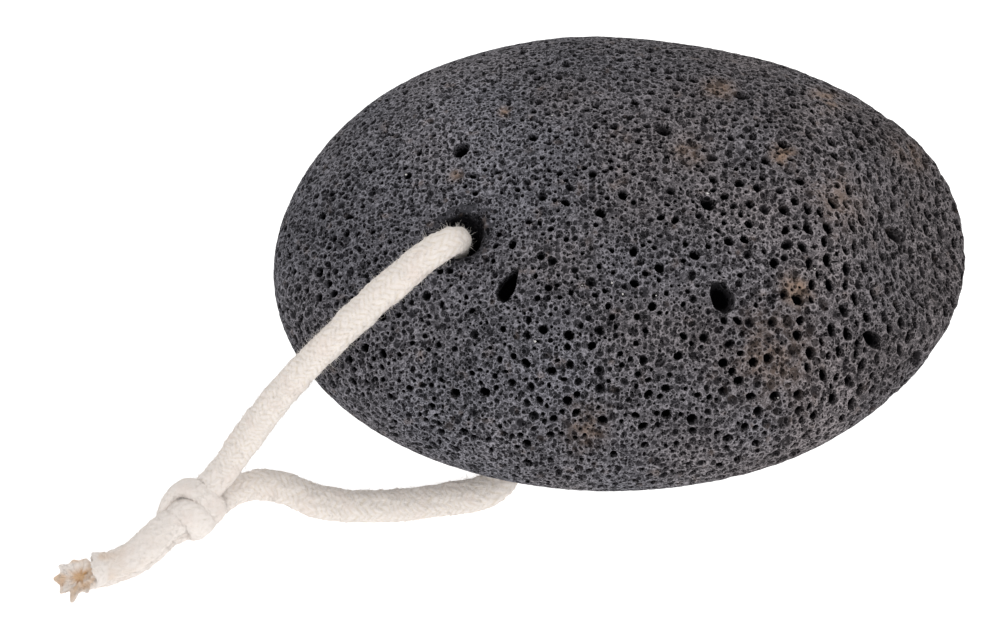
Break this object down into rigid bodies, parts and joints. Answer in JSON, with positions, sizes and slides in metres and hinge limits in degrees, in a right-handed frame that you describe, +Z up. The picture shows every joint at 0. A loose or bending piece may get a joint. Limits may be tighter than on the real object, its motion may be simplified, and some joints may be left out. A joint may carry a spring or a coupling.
{
  "type": "pumice stone",
  "caption": "Dark vesicular lava foot stone, an uneven oval pebble drilled near one end and threaded with a knotted loop of cream cotton braid.",
  "frame": {"origin": "on the resting surface, under the middle of the stone's own box", "axes": "+X along the stone's length with the drilled hole on the -X side, +Z up through its thickness, -Y to the side where the cord's knot lies"},
  "size_m": [0.1305, 0.0798, 0.0425],
  "materials": {
    "vesicular_lava": "rough, full of open gas bubbles, dull charcoal grey with brown-grey patches",
    "cotton_braid": "undyed braided cotton, matt, slightly fuzzy"
  },
  "bodies": {
    "root": {"stone": "vesicular_lava", "cord_upper": "cotton_braid", "cord_lower": "cotton_braid", "knot": "cotton_braid", "tail_upper": "cotton_braid", "tail_lower": "cotton_braid"}
  },
  "joints": []
}
